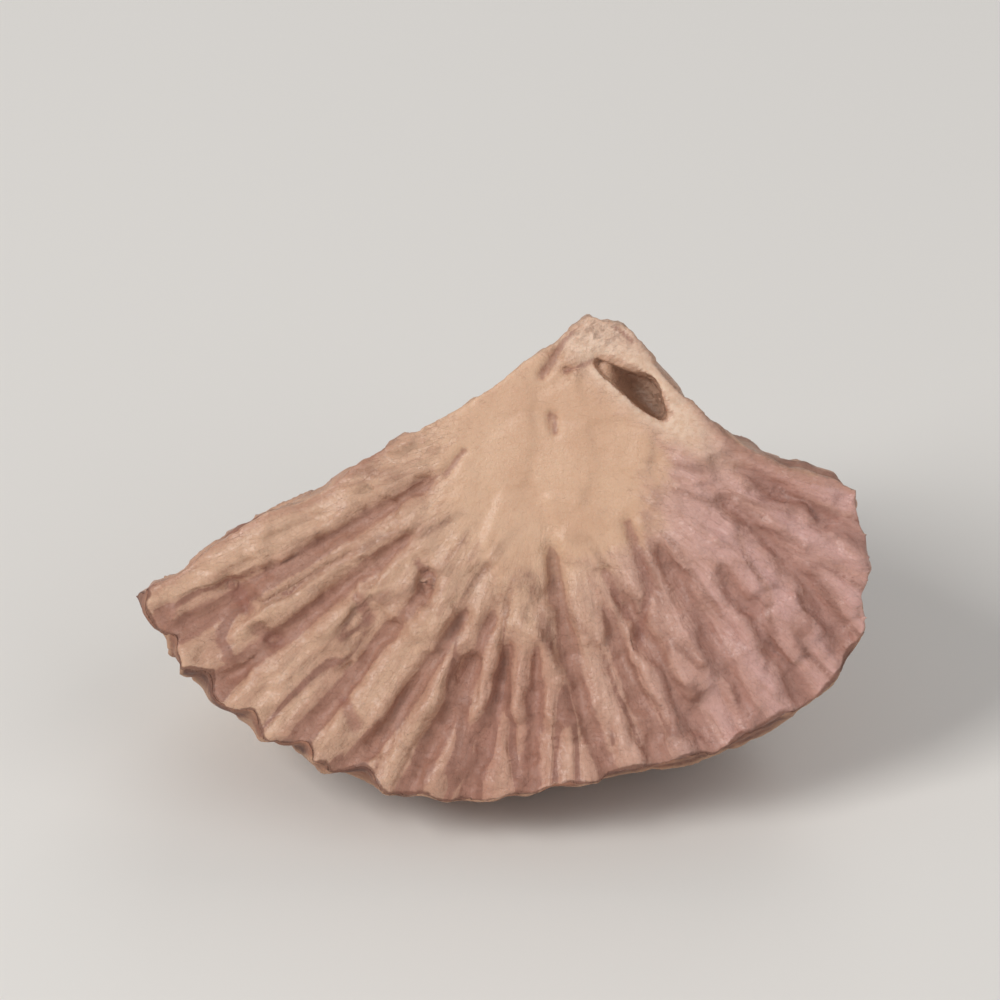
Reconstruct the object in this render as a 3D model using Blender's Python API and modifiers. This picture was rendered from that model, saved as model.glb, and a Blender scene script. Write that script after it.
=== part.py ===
"""A broken areca nut: one wedge of the dried seed, standing on its rounded skin.

The wedge has three broken faces. The fan is the large flat one, with ribs that radiate from the pale core. The roof
lies behind its upper edge, and the side break ends it on the right. What is left is skin, with its raised veins.
The wedge is laid out upright on the fan's own axes: x to the right, y up the fan and z out of it. It is then leaned
back until its weight is over the small flat spot that it rests on, whose middle is the origin.
"""

import math

import bmesh
import bpy
from mathutils import Matrix, Vector, noise

MM = 0.001
NODE = "areca_nut_piece"

# The whole seed, before it broke: half its width, height and depth
SEED_HALF = Vector((14.1, 13.2, 13.4)) * MM
LUMP_HEIGHT = 0.60 * MM
LUMP_SIZE = 7.0 * MM
LUMP_PLACE = Vector((58.56, 11.56, 56.59))

# The veins raised on the skin, which run out from the scar where the seed was held
SCAR = Vector((-0.50, -0.62, -0.60)).normalized()
VEIN_HEIGHT = 0.22 * MM
VEIN_WIDTH = 0.16
VEIN_BANDS = 5.5
VEIN_BRANCHING = 3.2

# The pale core, and the ribs of flesh that radiate from it with grooves between them
CORE = Vector((1.2, -1.0, -1.2)) * MM
CORE_RADIUS = 4.2 * MM
RIB_FULL_RADIUS = 8.5 * MM
BROAD_BANDS = 4.5
BROAD_BRANCHING = 12.0 * MM
FINE_BANDS = 9.5
FINE_BRANCHING = 6.5 * MM
FINE_START = 5.5 * MM
FINE_FULL = 11.0 * MM
GROOVE_WIDTH = 0.24
GROOVE_DEPTH = 0.30 * MM
SWELL_BANDS = 4.0
SWELL_HEIGHT = 0.40 * MM

# The flakes that broke out of the flesh away from the core
FLAKE_HEIGHT = 0.55 * MM
FLAKE_SIZE = 2.6 * MM

# The fan, the broken face in front. Each main groove is its distance from the core where it starts, in mm, its
# bearing there and its bearing at the rim, in degrees
MAIN_GROOVES = (
    (3.9, -147.5, -148.5),
    (5.5, -137.0, -140.0),
    (6.2, -124.0, -127.0),
    (6.6, -112.0, -119.0),
    (6.4, -105.0, -110.0),
    (7.2, -99.0, -102.0),
    (7.2, -93.0, -93.0),
    (4.0, -90.0, -79.5),
    (6.2, -75.0, -72.0),
    (5.9, -69.0, -64.0),
    (5.2, -53.0, -58.0),
    (7.0, -44.0, -50.0),
    (5.7, -28.0, -41.0),
    (5.8, -18.0, -27.0),
)
MAIN_GROOVE_DEPTH = 0.32 * MM
MAIN_GROOVE_WIDTH = 0.20 * MM, 0.42 * MM
MAIN_GROOVE_FULL = 0.25
RIM_RADIUS = 13.0 * MM
FAN_RIB_SHARE = 0.55
FAN_CROWN = 0.55 * MM
FAN_WARP = 0.45 * MM
WARP_SIZE = 6.0 * MM
WARP_PLACE = Vector((15.56, 50.43, 36.85))

# The roof, the broken face above and behind, which falls to the left and right of its ridge
RIDGE = Vector((0.6, 0.32)) * MM
LEFT_FALL = 0.55
RIGHT_FALL = 0.37
LEFT_BACK_FALL = 0.14
RIGHT_BACK_FALL = 0.02
RIDGE_ROUND = 0.7 * MM
ROOF_WARP = 0.60 * MM
STEP_HEIGHT = 0.40 * MM
STEP_SIZE = 5.0 * MM
STEP_SHARPNESS = 6.0
NOSE_HEIGHT = 2.25 * MM
NOSE_PLACE = 3.05 * MM
NOSE_WIDTH = 2.1 * MM
NOSE_DEPTH = 4.2 * MM
SPLINTER_HEIGHT = 0.45 * MM
SPLINTER_SIZE = 0.9 * MM

# The side break, at the fan's right end
SIDE_POINT = Vector((11.05, -5.2, 0.0)) * MM
SIDE_NORMAL = Vector((0.88, 0.10, -0.46)).normalized()
SIDE_WARP = 0.40 * MM

# Notches along the fan's lower left edge, where the skin chipped between the ribs
NOTCH_DEPTH = 0.45 * MM
NOTCH_REACH = 1.6 * MM
NOTCH_MIDDLE = math.radians(-130)
NOTCH_SPAN = math.radians(38)
NOTCH_TURN = math.radians(8.0)
NOTCH_DRIFT = 5

# The slot in the core, just under the nose
SLOT_MIDDLE = Vector((3.72, -0.56, 0.3)) * MM
SLOT_HALF = Vector((1.65, 0.26, 2.3)) * MM
SLOT_PEAK = 0.74 * MM
SLOT_PEAK_PLACE = 0.15
SLOT_SLOPE = 0.8
SLOT_TURN = math.radians(-40)
SLOT_ROUGH = 0.12 * MM

# How the wedge leans back, and how much of its skin is worn flat under it
LEAN = math.radians(36)
FLAT_DEPTH = 0.32 * MM

SEED_SPLITS = 6
SLOT_SPLITS = 4
FAN_SPOKES, FAN_RINGS = 200, 32
ROOF_SPOKES, ROOF_RINGS = 128, 22
SIDE_SPOKES, SIDE_RINGS = 78, 16
SPOKE_GAP = 0.03 * MM
MERGE_DISTANCE = 0.01 * MM
CUTTER_RADIUS = 19.0 * MM
CUTTER_HEIGHT = 20.0 * MM
SKIN_COLOUR = (0.40, 0.22, 0.15, 1.0)
SKIN_ROUGHNESS = 0.6


def clear_scene():
    """Empties the scene of the objects that it opened with."""
    for obj in list(bpy.data.objects):
        bpy.data.objects.remove(obj)


def new_collection(name):
    """A collection linked to the scene."""
    collection = bpy.data.collections.new(name)
    bpy.context.scene.collection.children.link(collection)
    return collection


def smooth_step(low, high, value):
    """0 below low, 1 above high, and a smooth rise between them."""
    share = min(max((value - low) / (high - low), 0.0), 1.0)
    return share * share * (3 - 2 * share)


def ribs(point):
    """Height of the ribs of pale flesh at a point: none in the core, full towards the skin."""
    away = point - CORE
    direction = away.normalized()
    rise = smooth_step(CORE_RADIUS, RIB_FULL_RADIUS, away.length)
    broad = noise.noise(direction * BROAD_BANDS + away / BROAD_BRANCHING)
    fine = noise.noise(direction * FINE_BANDS + away / FINE_BRANCHING)
    band = broad + fine * smooth_step(FINE_START, FINE_FULL, away.length)
    groove = math.exp(-((band / GROOVE_WIDTH) ** 2))
    swell = noise.noise(direction * SWELL_BANDS)
    return rise * (SWELL_HEIGHT * swell - GROOVE_DEPTH * groove)


def flakes(point):
    """Hollows with sharp crests between them, where flakes broke out of the flesh."""
    rise = smooth_step(CORE_RADIUS, RIB_FULL_RADIUS, (point - CORE).length)
    return -FLAKE_HEIGHT * rise * abs(noise.noise(point / FLAKE_SIZE))


def warp(point, height):
    """A slow swell of a broken face, a few times wider than the ribs."""
    return height * noise.noise(point / WARP_SIZE + WARP_PLACE)


def steps(point):
    """Ledges where the break jumped from one level to another."""
    return STEP_HEIGHT * math.tanh(STEP_SHARPNESS * noise.noise(point / STEP_SIZE))


def main_groove(x, y):
    """Depth of the fan's main grooves, which widen from where they start to the rim."""
    radius = math.hypot(x - CORE.x, y - CORE.y)
    bearing = math.degrees(math.atan2(y - CORE.y, x - CORE.x))
    narrow, wide = MAIN_GROOVE_WIDTH
    deepest = 0.0
    for start, inner, outer in MAIN_GROOVES:
        share = (radius - start * MM) / (RIM_RADIUS - start * MM)
        if share > 0:
            aside = math.radians(bearing - inner - (outer - inner) * share) * radius
            width = narrow + (wide - narrow) * share
            groove = math.exp(-((aside / width) ** 2)) * smooth_step(0, MAIN_GROOVE_FULL, share)
            deepest = max(deepest, groove)
    return MAIN_GROOVE_DEPTH * deepest


def fan_height(x, y):
    """How far the fan stands out, in z, over its middle plane."""
    point = Vector((x, y, 0.0))
    distance = (point - CORE).length
    crown = FAN_CROWN * (1 - (distance / SEED_HALF.y) ** 2)
    return crown + warp(point, FAN_WARP) + FAN_RIB_SHARE * ribs(point) + flakes(point) - main_groove(x, y)


def roof_height(x, z):
    """How high the roof stands, in y: two slopes that meet in a rounded ridge, with the nose in front."""
    left = LEFT_FALL * (x - RIDGE.x) + LEFT_BACK_FALL * z
    right = RIGHT_FALL * (RIDGE.x - x) + RIGHT_BACK_FALL * z
    gap = left - right
    ridge = (left + right - math.sqrt(gap * gap + RIDGE_ROUND * RIDGE_ROUND)) / 2
    point = Vector((x, ridge, z))
    nose = math.exp(-(((x - NOSE_PLACE) / NOSE_WIDTH) ** 2) - (z / NOSE_DEPTH) ** 2)
    torn = NOSE_HEIGHT + SPLINTER_HEIGHT * noise.noise(point / SPLINTER_SIZE)
    back = smooth_step(CORE_RADIUS / 2, RIB_FULL_RADIUS, -z)
    rough = back * steps(point) + ribs(point) + flakes(point)
    return RIDGE.y + ridge + torn * nose + warp(point, ROOF_WARP) + rough


def vein_height(direction):
    """Raised net of veins on the skin. They leave the scar like spokes, fork and join again."""
    spoke = (direction - SCAR * direction.dot(SCAR)).normalized()
    band = noise.noise(spoke * VEIN_BANDS + direction * VEIN_BRANCHING)
    return VEIN_HEIGHT * math.exp(-((band / VEIN_WIDTH) ** 2))


def notch_depth(point):
    """How deep the skin is chipped at a point, near the fan's lower left edge."""
    angle = math.atan2(point.y, point.x)
    share = 1 - smooth_step(0.5, 1.0, abs(angle - NOTCH_MIDDLE) / NOTCH_SPAN)
    wave = 0.5 - 0.5 * math.cos(math.tau * (angle - NOTCH_MIDDLE) / NOTCH_TURN + math.sin(NOTCH_DRIFT * angle))
    return NOTCH_DEPTH * share * math.exp(-((point.z / NOTCH_REACH) ** 2)) * wave * wave


def make_seed(collection):
    """The whole seed: a ball brought to its lumpy oval form, with the veins raised on it."""
    bpy.ops.mesh.primitive_ico_sphere_add(subdivisions=SEED_SPLITS, radius=1.0)
    seed = bpy.context.object
    for vertex in seed.data.vertices:
        direction = vertex.co.normalized()
        point = Vector(a * b for a, b in zip(direction, SEED_HALF))
        lump = LUMP_HEIGHT * noise.noise(point / LUMP_SIZE + LUMP_PLACE)
        vertex.co = point + direction * (lump + vein_height(direction) - notch_depth(point))
    seed.name = NODE
    bpy.context.collection.objects.unlink(seed)
    collection.objects.link(seed)
    return seed


def make_drum(name, spokes, rings, collection):
    """A closed drum, turned from its half section, whose lower end has spokes and rings for a broken face."""
    middle = spokes * SPOKE_GAP / math.tau
    gap = (CUTTER_RADIUS - middle) / rings
    outline = [(0.0, 0.0)] + [(middle + gap * ring, 0.0) for ring in range(rings + 1)]
    outline += [(CUTTER_RADIUS, CUTTER_HEIGHT), (0.0, CUTTER_HEIGHT)]
    mesh = bpy.data.meshes.new(name)
    mesh.from_pydata([(r, 0.0, h) for r, h in outline], [(i, i + 1) for i in range(len(outline) - 1)], [])
    profile = bpy.data.objects.new(name, mesh)
    collection.objects.link(profile)
    screw = profile.modifiers.new("turn", "SCREW")
    screw.steps = screw.render_steps = spokes
    screw.use_merge_vertices = True
    screw.merge_threshold = MERGE_DISTANCE
    bpy.context.view_layer.update()
    turned = bpy.data.meshes.new_from_object(profile.evaluated_get(bpy.context.evaluated_depsgraph_get()))
    profile.modifiers.clear()
    profile.data = turned
    return profile


def set_up_as_cutter(cutter):
    """Faces out, hidden from renders and drawn as wire."""
    shape = bmesh.new()
    shape.from_mesh(cutter.data)
    bmesh.ops.recalc_face_normals(shape, faces=shape.faces)
    shape.to_mesh(cutter.data)
    shape.free()
    cutter.hide_render = True
    cutter.display_type = "WIRE"
    return cutter


def make_fan_cutter(collection):
    """What lies in front of the fan."""
    cutter = make_drum("fan_cutter", FAN_SPOKES, FAN_RINGS, collection)
    for vertex in cutter.data.vertices:
        x, y = vertex.co.x + CORE.x, vertex.co.y + CORE.y
        on_face = vertex.co.z < CUTTER_HEIGHT / 2
        vertex.co = Vector((x, y, fan_height(x, y) if on_face else CUTTER_HEIGHT))
    return set_up_as_cutter(cutter)


def make_roof_cutter(collection):
    """What lies above the roof."""
    cutter = make_drum("roof_cutter", ROOF_SPOKES, ROOF_RINGS, collection)
    for vertex in cutter.data.vertices:
        x, z = vertex.co.x + CORE.x, vertex.co.y + CORE.z
        on_face = vertex.co.z < CUTTER_HEIGHT / 2
        vertex.co = Vector((x, roof_height(x, z) if on_face else CUTTER_HEIGHT, z))
    return set_up_as_cutter(cutter)


def make_side_cutter(collection):
    """What lies past the side break. Its spokes start from the foot of the core on that plane."""
    cutter = make_drum("side_cutter", SIDE_SPOKES, SIDE_RINGS, collection)
    foot = CORE + SIDE_NORMAL * (SIDE_POINT - CORE).dot(SIDE_NORMAL)
    turn = SIDE_NORMAL.to_track_quat("Z", "Y").to_matrix()
    for vertex in cutter.data.vertices:
        point = foot + turn @ vertex.co
        if vertex.co.z < CUTTER_HEIGHT / 2:
            point += SIDE_NORMAL * (warp(point, SIDE_WARP) + ribs(point) - flakes(point))
        vertex.co = point
    return set_up_as_cutter(cutter)


def make_slot_cutter(collection):
    """The narrow slot in the core: flat towards the core, peaked towards the nose's right edge."""
    bpy.ops.mesh.primitive_ico_sphere_add(subdivisions=SLOT_SPLITS, radius=1.0)
    cutter = bpy.context.object
    turn = Matrix.Rotation(SLOT_TURN, 3, "Z")
    for vertex in cutter.data.vertices:
        direction = vertex.co.normalized()
        point = Vector(a * b for a, b in zip(direction, SLOT_HALF))
        if direction.y > 0:
            point.y = direction.y * SLOT_PEAK * (1 - SLOT_SLOPE * abs(direction.x - SLOT_PEAK_PLACE))
        point += direction * SLOT_ROUGH * noise.noise(point / MM)
        vertex.co = SLOT_MIDDLE + turn @ point
    cutter.name = "slot_cutter"
    bpy.context.collection.objects.unlink(cutter)
    collection.objects.link(cutter)
    return set_up_as_cutter(cutter)


def lean_back(seed):
    """The turn and place that stand the wedge on its flat spot, whose middle is left at the origin."""
    turn = Matrix.Rotation(math.pi / 2 - LEAN, 4, "X")
    points = [turn @ vertex.co for vertex in seed.data.vertices]
    floor_height = min(point.z for point in points) + FLAT_DEPTH
    worn = [point for point in points if point.z < floor_height]
    middle = sum(worn, Vector()) / len(worn)
    return Matrix.Translation((-middle.x, -middle.y, -floor_height)) @ turn


def make_floor_cutter(collection):
    """What lies under the surface that the wedge stands on."""
    side = 2 * CUTTER_RADIUS
    bpy.ops.mesh.primitive_cube_add(size=side, location=(0.0, 0.0, -side / 2))
    cutter = bpy.context.object
    cutter.name = "floor_cutter"
    bpy.context.collection.objects.unlink(cutter)
    collection.objects.link(cutter)
    return set_up_as_cutter(cutter)


def make_nut_material():
    """The seed's brown, matt finish."""
    material = bpy.data.materials.new("areca_nut")
    material.use_nodes = True
    shader = material.node_tree.nodes["Principled BSDF"]
    shader.inputs["Base Color"].default_value = SKIN_COLOUR
    shader.inputs["Roughness"].default_value = SKIN_ROUGHNESS
    shader.inputs["Metallic"].default_value = 0.0
    return material


def main():
    clear_scene()
    parts = new_collection("broken_areca_nut")
    cutters = new_collection("cutters")
    seed = make_seed(parts)
    makers = (make_fan_cutter, make_roof_cutter, make_side_cutter, make_slot_cutter)
    breaks = [make(cutters) for make in makers]
    stand = lean_back(seed)
    for obj in [seed, *breaks]:
        obj.matrix_world = stand
    make_floor_cutter(cutters)
    cut = seed.modifiers.new("breaks", "BOOLEAN")
    cut.operation = "DIFFERENCE"
    cut.solver = "EXACT"
    cut.operand_type = "COLLECTION"
    cut.collection = cutters
    seed.data.materials.append(make_nut_material())


main()
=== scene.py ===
"""The looks of a broken areca nut: one wedge of the dried seed, with marbled flesh and a veined brown skin.

Lengths are in millimetres, except where a name ends in _m or _M for metres. The wedge's own axes are the
fan's: x to the right, y up the fan and z out of it. The stand turns them to the finished piece's own.
"""

import logging
import math
from collections.abc import Sequence
from dataclasses import dataclass, fields
from enum import Enum
from typing import Union

import bmesh
import bpy
from mathutils import Matrix, Vector, noise


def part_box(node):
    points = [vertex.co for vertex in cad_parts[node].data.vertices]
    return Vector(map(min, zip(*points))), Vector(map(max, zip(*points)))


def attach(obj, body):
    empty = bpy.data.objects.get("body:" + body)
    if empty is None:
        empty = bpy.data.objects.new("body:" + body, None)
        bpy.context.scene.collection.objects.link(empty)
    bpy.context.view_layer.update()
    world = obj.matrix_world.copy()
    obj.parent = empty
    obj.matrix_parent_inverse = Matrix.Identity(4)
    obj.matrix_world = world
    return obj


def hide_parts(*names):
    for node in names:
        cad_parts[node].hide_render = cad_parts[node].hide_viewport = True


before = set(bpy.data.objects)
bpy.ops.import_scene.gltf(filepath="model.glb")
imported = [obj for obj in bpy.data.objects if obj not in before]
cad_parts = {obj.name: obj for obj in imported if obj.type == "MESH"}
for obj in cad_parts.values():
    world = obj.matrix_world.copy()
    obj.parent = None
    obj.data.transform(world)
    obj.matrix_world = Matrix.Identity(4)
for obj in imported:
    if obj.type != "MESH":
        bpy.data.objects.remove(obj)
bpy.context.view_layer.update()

NODE = "areca_nut_piece"
BODY = "root"
MM_M = 0.001
PER_M = 1000.0
ACROSS = Vector((1.0, 0.0, 0.0))
UP = Vector((0.0, 0.0, 1.0))
NOISE_MIDDLE = 0.5
LOG = logging.getLogger("broken_areca_nut")

Colour = tuple[float, float, float, float]
# Where a rise starts and ends, and then what it rises from and to, if that isn't from 0 to 1.
Rise = tuple[float, ...]
# A noise's scale, detail and roughness, or a drawn-out pattern's bands to a radian and length.
Grain = tuple[float, ...]
# What an input of a node takes: a wire to link, or a plain value to set.
Feed = Union["Wire", Vector, Sequence[float], float, str]
# What goes in the inputs of a node, by their names or places.
Feeds = dict[str | int, Feed]


def smooth_step(low: float, high: float, value: float) -> float:
    """A smooth rise from 0 at low to 1 at high, read at a value."""
    share = min(max((value - low) / (high - low), 0.0), 1.0)
    return share * share * (3 - 2 * share)


def bell(distance: float, width: float) -> float:
    """A bell that falls from 1 at no distance to 1 / e at its width."""
    return math.exp(-((distance / width) ** 2))


def linear(red: int, green: int, blue: int) -> Colour:
    """A colour as shaders take it, by the sRGB rule.

    Args:
        red: the display's red, 0 to 255.
        green: its green.
        blue: its blue.

    Returns:
        The same colour in linear light, with full alpha.
    """
    parts = [value / 255 for value in (red, green, blue)]
    lit = [p / 12.92 if p <= 0.04045 else ((p + 0.055) / 1.055) ** 2.4 for p in parts]
    return lit[0], lit[1], lit[2], 1.0


def add_object(name: str, data: bpy.types.ID) -> bpy.types.Object:
    """Puts a new object in the scene.

    Args:
        name: its name.
        data: its mesh, light or camera.

    Returns:
        The object.
    """
    added = bpy.data.objects.new(name, data)
    bpy.context.scene.collection.objects.link(added)
    return added


def make_plain(piece: bpy.types.Object) -> None:
    """Turns what a piece's modifiers make into its plain mesh.

    Args:
        piece: the object.
    """
    bpy.context.view_layer.update()
    made = bpy.data.meshes.new_from_object(piece.evaluated_get(bpy.context.evaluated_depsgraph_get()))
    piece.modifiers.clear()
    old, piece.data = piece.data, made
    bpy.data.meshes.remove(old)


@dataclass(frozen=True)
class Flesh:
    """The flesh that every broken face cuts through: ribs that radiate from a pale core, and flakes."""

    core: Vector = Vector((1.2, -1.0, -1.2))
    core_radius: float = 4.2
    full_radius: float = 8.5
    broad_bands: float = 4.5
    broad_branching: float = 12.0
    fine_bands: float = 9.5
    fine_branching: float = 6.5
    fine_start: float = 5.5
    fine_full: float = 11.0
    groove_width: float = 0.24
    groove_depth: float = 0.30
    swell_bands: float = 4.0
    swell_height: float = 0.40
    flake_height: float = 0.55
    flake_size: float = 2.6
    warp_size: float = 6.0
    warp_place: Vector = Vector((15.56, 50.43, 36.85))
    probe: float = 0.05
    least_slope: float = 0.005

    def rise(self, point: Vector) -> float:
        """How far the ribs have risen at a point: 0 in the core and 1 well outside it."""
        return smooth_step(self.core_radius, self.full_radius, (point - self.core).length)

    def band(self, point: Vector) -> float:
        """The field whose zero sheets are the brown partitions between the ribs.

        Args:
            point: a point in the flesh.

        Returns:
            The field there, roughly from -1 to 1.
        """
        away = point - self.core
        direction = away.normalized()
        broad = noise.noise(direction * self.broad_bands + away / self.broad_branching)
        fine = noise.noise(direction * self.fine_bands + away / self.fine_branching)
        return broad + fine * smooth_step(self.fine_start, self.fine_full, away.length)

    def partition_gap(self, point: Vector) -> float:
        """How far a point is from the middle of the nearest partition.

        Args:
            point: a point in the flesh.

        Returns:
            The distance, from the field and how steeply it changes there.
        """
        here = self.band(point)
        slope = Vector(self.band(point + axis * self.probe) - here for axis in Matrix.Identity(3))
        return abs(here) * self.probe / max(slope.length, self.least_slope)

    def ribs(self, point: Vector) -> float:
        """Height of the ribs at a point on a broken face.

        Args:
            point: a point on the face's middle plane.

        Returns:
            The height, none in the core and full towards the skin.
        """
        groove = bell(self.band(point), self.groove_width)
        swell = noise.noise((point - self.core).normalized() * self.swell_bands)
        return self.rise(point) * (self.swell_height * swell - self.groove_depth * groove)

    def flakes(self, point: Vector) -> float:
        """Hollows, below zero, with sharp crests between them, where flakes broke out."""
        return -self.flake_height * self.rise(point) * abs(noise.noise(point / self.flake_size))

    def warp(self, point: Vector, height: float) -> float:
        """A slow swell of a broken face, of that height."""
        return height * noise.noise(point / self.warp_size + self.warp_place)


class Face:
    """One of the faces that bound the wedge."""

    def outside(self, point: Vector) -> float:
        """How far a point is past the face, below zero where it is in the nut."""
        raise NotImplementedError

    def out(self, point: Vector) -> Vector:
        """The direction out of the nut at a point of the face."""
        raise NotImplementedError

    def settle(self, point: Vector) -> Vector:
        """The point moved onto the face, straight along out."""
        return point - self.out(point) * self.outside(point)


@dataclass(frozen=True)
class Slot:
    """The narrow slot under the nose: shallow at its left end and deep at its right."""

    middle: Vector = Vector((3.72, -0.56))
    half_length: float = 1.65
    half_width: float = 0.26
    peak: float = 0.74
    turn: float = math.radians(-40)
    shallow_depth: float = 0.40
    deep_depth: float = 3.5
    shallow_end: Rise = (3.0, 4.2)
    reach: float = 1.25
    lowest: float = -2.6
    wall: float = 0.35

    def holds(self, point: Vector) -> bool:
        """Whether a point that is on no face belongs to the slot."""
        return self.span(point) < self.reach and point.z > self.lowest

    def span(self, point: Vector) -> float:
        """How far out a point is in the slot's outline.

        Args:
            point: the point, in the fan's axes.

        Returns:
            0 in the outline's middle, 1 on its edge and more outside it.
        """
        away = point.xy - self.middle
        along = away.x * math.cos(self.turn) + away.y * math.sin(self.turn)
        aside = away.y * math.cos(self.turn) - away.x * math.sin(self.turn)
        return math.hypot(along / self.half_length, aside / (self.peak if aside > 0 else self.half_width))

    def floor(self, point: Vector) -> float:
        """How deep the slot may be at a point."""
        return self.shallow_depth + self.deep_depth * smooth_step(*self.shallow_end, point.x)


@dataclass(frozen=True)
class Fan(Face):
    """The large broken face in front.

    A groove is its start from the core, and its bearing there and at the rim. A crease is its two ends, width
    and depth.
    """

    flesh: Flesh
    slot: Slot = Slot()
    rim_radius: float = 13.0
    reach: float = 13.2
    crown: float = 0.55
    warp: float = 0.45
    rib_share: float = 0.55
    groove_depth: float = 0.32
    groove_widths: tuple[float, float] = (0.20, 0.42)
    groove_full: float = 0.09
    grooves: tuple[tuple[float, float, float], ...] = (
        (3.9, -147.5, -148.5),
        (5.5, -137.0, -140.0),
        (6.2, -124.0, -127.0),
        (6.6, -112.0, -119.0),
        (6.4, -105.0, -110.0),
        (7.2, -99.0, -102.0),
        (7.2, -93.0, -93.0),
        (4.0, -90.0, -79.5),
        (6.2, -75.0, -72.0),
        (5.9, -69.0, -64.0),
        (5.2, -53.0, -58.0),
        (7.0, -44.0, -50.0),
        (5.7, -28.0, -41.0),
        (5.8, -18.0, -27.0),
    )
    creases: tuple[tuple[tuple[float, float], tuple[float, float], float, float], ...] = (
        ((1.75, 0.05), (2.75, 0.42), 0.13, 0.22),
        ((0.95, -0.10), (1.95, 1.45), 0.14, 0.20),
        ((1.25, -1.35), (1.35, -1.85), 0.13, 0.20),
        ((3.00, 1.65), (3.75, 0.95), 0.11, 0.14),
        ((-1.50, -2.45), (-2.05, -3.20), 0.14, 0.14),
        ((3.60, -4.70), (4.30, -6.75), 0.22, 0.24),
        ((4.25, -6.75), (3.95, -8.50), 0.18, 0.18),
        ((2.90, -6.20), (3.60, -7.60), 0.18, 0.18),
        ((-2.90, -5.90), (-2.50, -6.50), 0.20, 0.18),
        ((-4.75, -7.00), (-4.45, -7.60), 0.24, 0.22),
        ((-8.70, -6.60), (-8.20, -7.30), 0.30, 0.26),
        ((-7.90, -8.00), (-7.30, -8.40), 0.28, 0.24),
        ((-5.20, -10.20), (-4.85, -11.00), 0.26, 0.22),
    )
    crease_span: float = 3.0

    def nearest_groove(self, point: Vector) -> tuple[float, float]:
        """The main groove that cuts deepest at a point, or else the nearest.

        Args:
            point: a point on the fan.

        Returns:
            How deep the groove cuts, from 0 to 1, and how far outside its edge the point is.
        """
        flat = point.xy - self.flesh.core.xy
        radius = flat.length
        bearing = math.degrees(math.atan2(flat.y, flat.x))
        narrow, wide = self.groove_widths
        deepest, nearest = 0.0, self.rim_radius
        for start, inner, outer in self.grooves:
            share = (radius - start) / (self.rim_radius - start)
            held = min(max(share, 0.0), 1.0)
            aside = abs(math.radians(bearing - inner - (outer - inner) * held)) * radius
            width = narrow + (wide - narrow) * held
            full = smooth_step(0, self.groove_full, held)
            nearest = min(nearest, math.hypot(aside, max(start - radius, 0.0)) - width * full)
            deepest = max(deepest, bell(aside, width) * full)
        return deepest, nearest

    def crease(self, point: Vector) -> tuple[float, float]:
        """The short creases and pits of the core and the nose.

        Args:
            point: a point on the fan.

        Returns:
            How deep they cut in mm, and the same as a share from 0 to 1.
        """
        depth, share = 0.0, 0.0
        for (left, top), (right, bottom), width, deep in self.creases:
            span = self.crease_span * width
            if min(left, right) - span < point.x < max(left, right) + span:
                across, down = right - left, bottom - top
                held = (point.x - left) * across + (point.y - top) * down
                held = min(max(held / (across * across + down * down), 0.0), 1.0)
                cut = bell(math.hypot(point.x - left - across * held, point.y - top - down * held), width)
                depth, share = max(depth, deep * cut), max(share, cut)
        return depth, share

    def height(self, point: Vector) -> float:
        """The fan's own shape.

        Args:
            point: a point, of which x and y count.

        Returns:
            How far the fan stands out there, in z.
        """
        flat = Vector((point.x, point.y, 0.0))
        crown = self.crown * (1 - ((flat - self.flesh.core).length / self.reach) ** 2)
        ribs = self.rib_share * self.flesh.ribs(flat) + self.flesh.flakes(flat)
        cuts = self.groove_depth * self.nearest_groove(flat)[0] + self.crease(flat)[0]
        return crown + self.flesh.warp(flat, self.warp) + ribs - cuts

    def outside(self, point: Vector) -> float:
        """How far a point stands in front of the fan."""
        return point.z - self.height(point)

    def out(self, point: Vector) -> Vector:
        """The fan's own z axis."""
        return Vector((0.0, 0.0, 1.0))


@dataclass(frozen=True)
class Roof(Face):
    """The broken face above and behind: two slopes, the rounded ridge between them, and the torn nose."""

    flesh: Flesh
    ridge: tuple[float, float] = (0.6, 0.32)
    left_fall: float = 0.55
    right_fall: float = 0.37
    left_back_fall: float = 0.14
    right_back_fall: float = 0.02
    ridge_round: float = 0.7
    warp: float = 0.60
    step_height: float = 0.40
    step_size: float = 5.0
    step_sharpness: float = 6.0
    nose_height: float = 2.25
    nose_place: float = 3.05
    nose_width: float = 2.1
    nose_depth: float = 4.2
    splinter_height: float = 0.45
    splinter_size: float = 0.9

    def height(self, point: Vector) -> float:
        """The roof's own shape.

        Args:
            point: a point, of which x and z count.

        Returns:
            How high the roof stands there, in y.
        """
        left = self.left_fall * (point.x - self.ridge[0]) + self.left_back_fall * point.z
        right = self.right_fall * (self.ridge[0] - point.x) + self.right_back_fall * point.z
        ridge = (left + right - math.hypot(left - right, self.ridge_round)) / 2
        flat = Vector((point.x, ridge, point.z))
        nose = bell(flat.x - self.nose_place, self.nose_width) * bell(flat.z, self.nose_depth)
        torn = self.nose_height + self.splinter_height * noise.noise(flat / self.splinter_size)
        back = smooth_step(self.flesh.core_radius / 2, self.flesh.full_radius, -flat.z)
        step = self.step_height * math.tanh(self.step_sharpness * noise.noise(flat / self.step_size))
        rough = back * step + self.flesh.ribs(flat) + self.flesh.flakes(flat)
        return self.ridge[1] + ridge + torn * nose + self.flesh.warp(flat, self.warp) + rough

    def outside(self, point: Vector) -> float:
        """How far a point stands above the roof."""
        return point.y - self.height(point)

    def out(self, point: Vector) -> Vector:
        """The fan's own y axis."""
        return Vector((0.0, 1.0, 0.0))


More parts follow.
